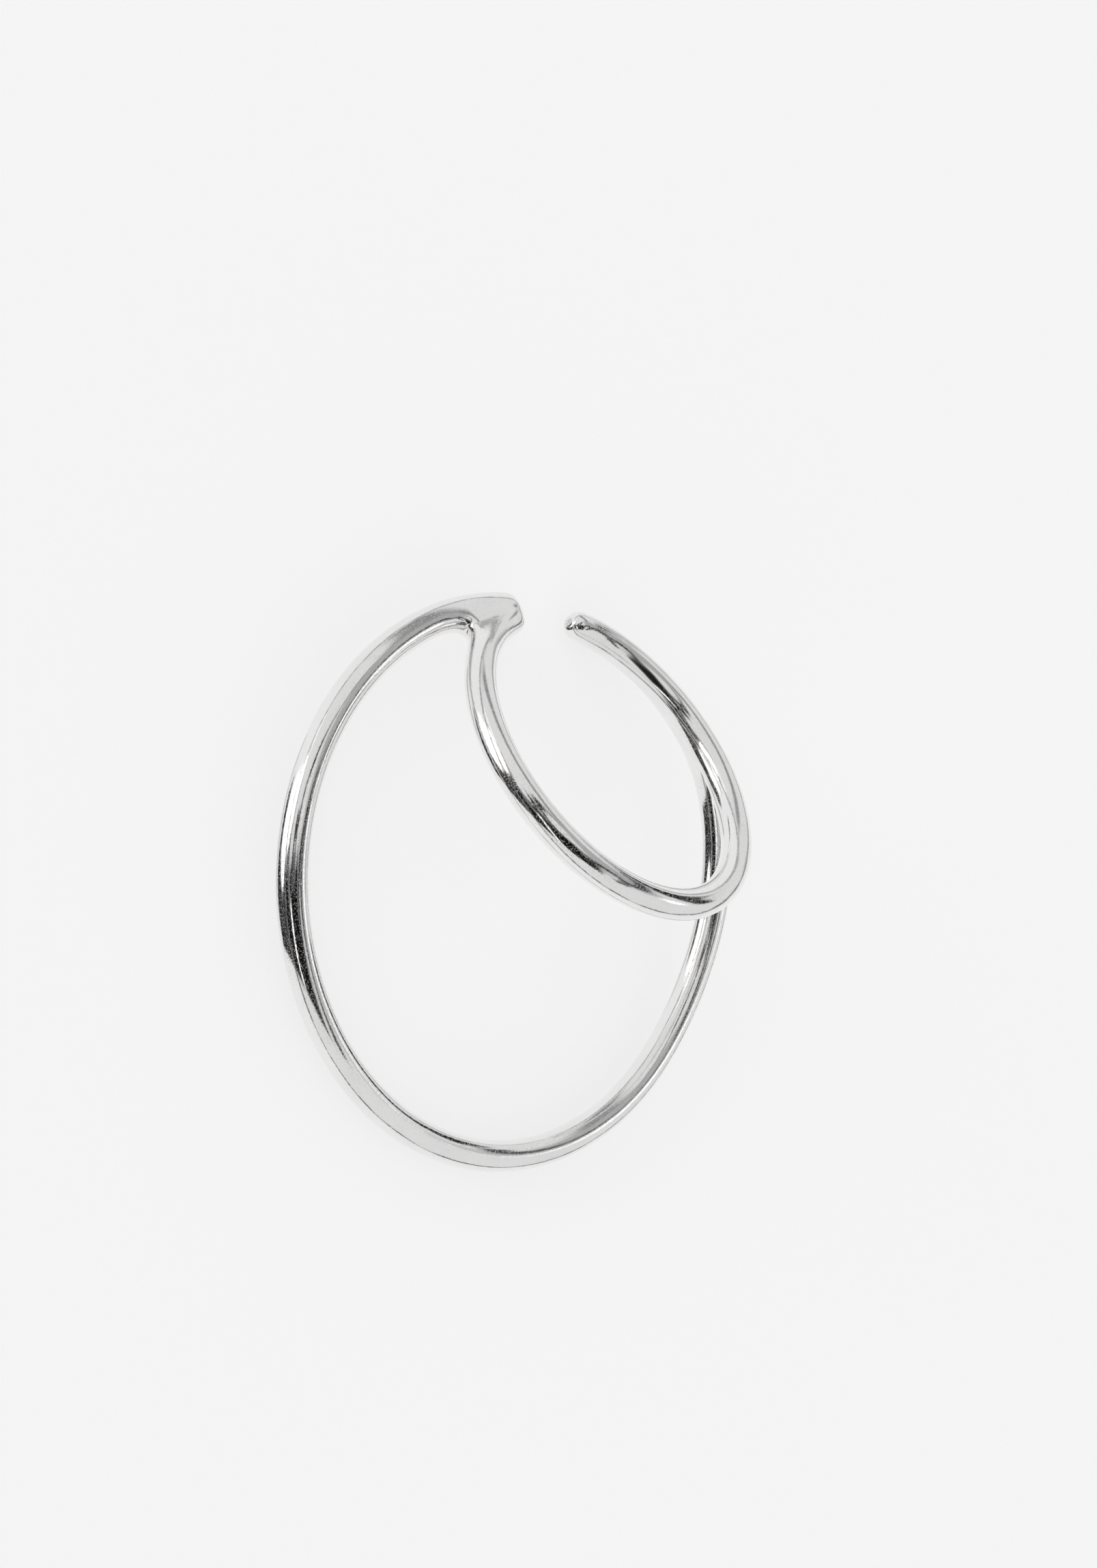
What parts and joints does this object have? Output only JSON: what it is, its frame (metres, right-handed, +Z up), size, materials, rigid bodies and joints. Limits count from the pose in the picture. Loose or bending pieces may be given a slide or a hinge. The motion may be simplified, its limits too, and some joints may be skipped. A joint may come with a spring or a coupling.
{
  "type": "ear cuff",
  "caption": "Silver wire ear cuff: a small open hoop that clips round the rim of the ear and a larger hoop tilted away from it, sharing one front end and rejoining at the back",
  "frame": {"origin": "middle of the footprint's box, on the surface the cuff lies on", "axes": "+Z up with the cuff lying on its side as it comes to rest; +Y from the hoops towards the ear opening; +X from the shared front end of the wires towards the back end"},
  "size_m": [0.0218, 0.022, 0.0079],
  "materials": {
    "silver": "mirror-polished sterling silver"
  },
  "bodies": {
    "root": {"double_hoop": "silver"}
  },
  "joints": []
}
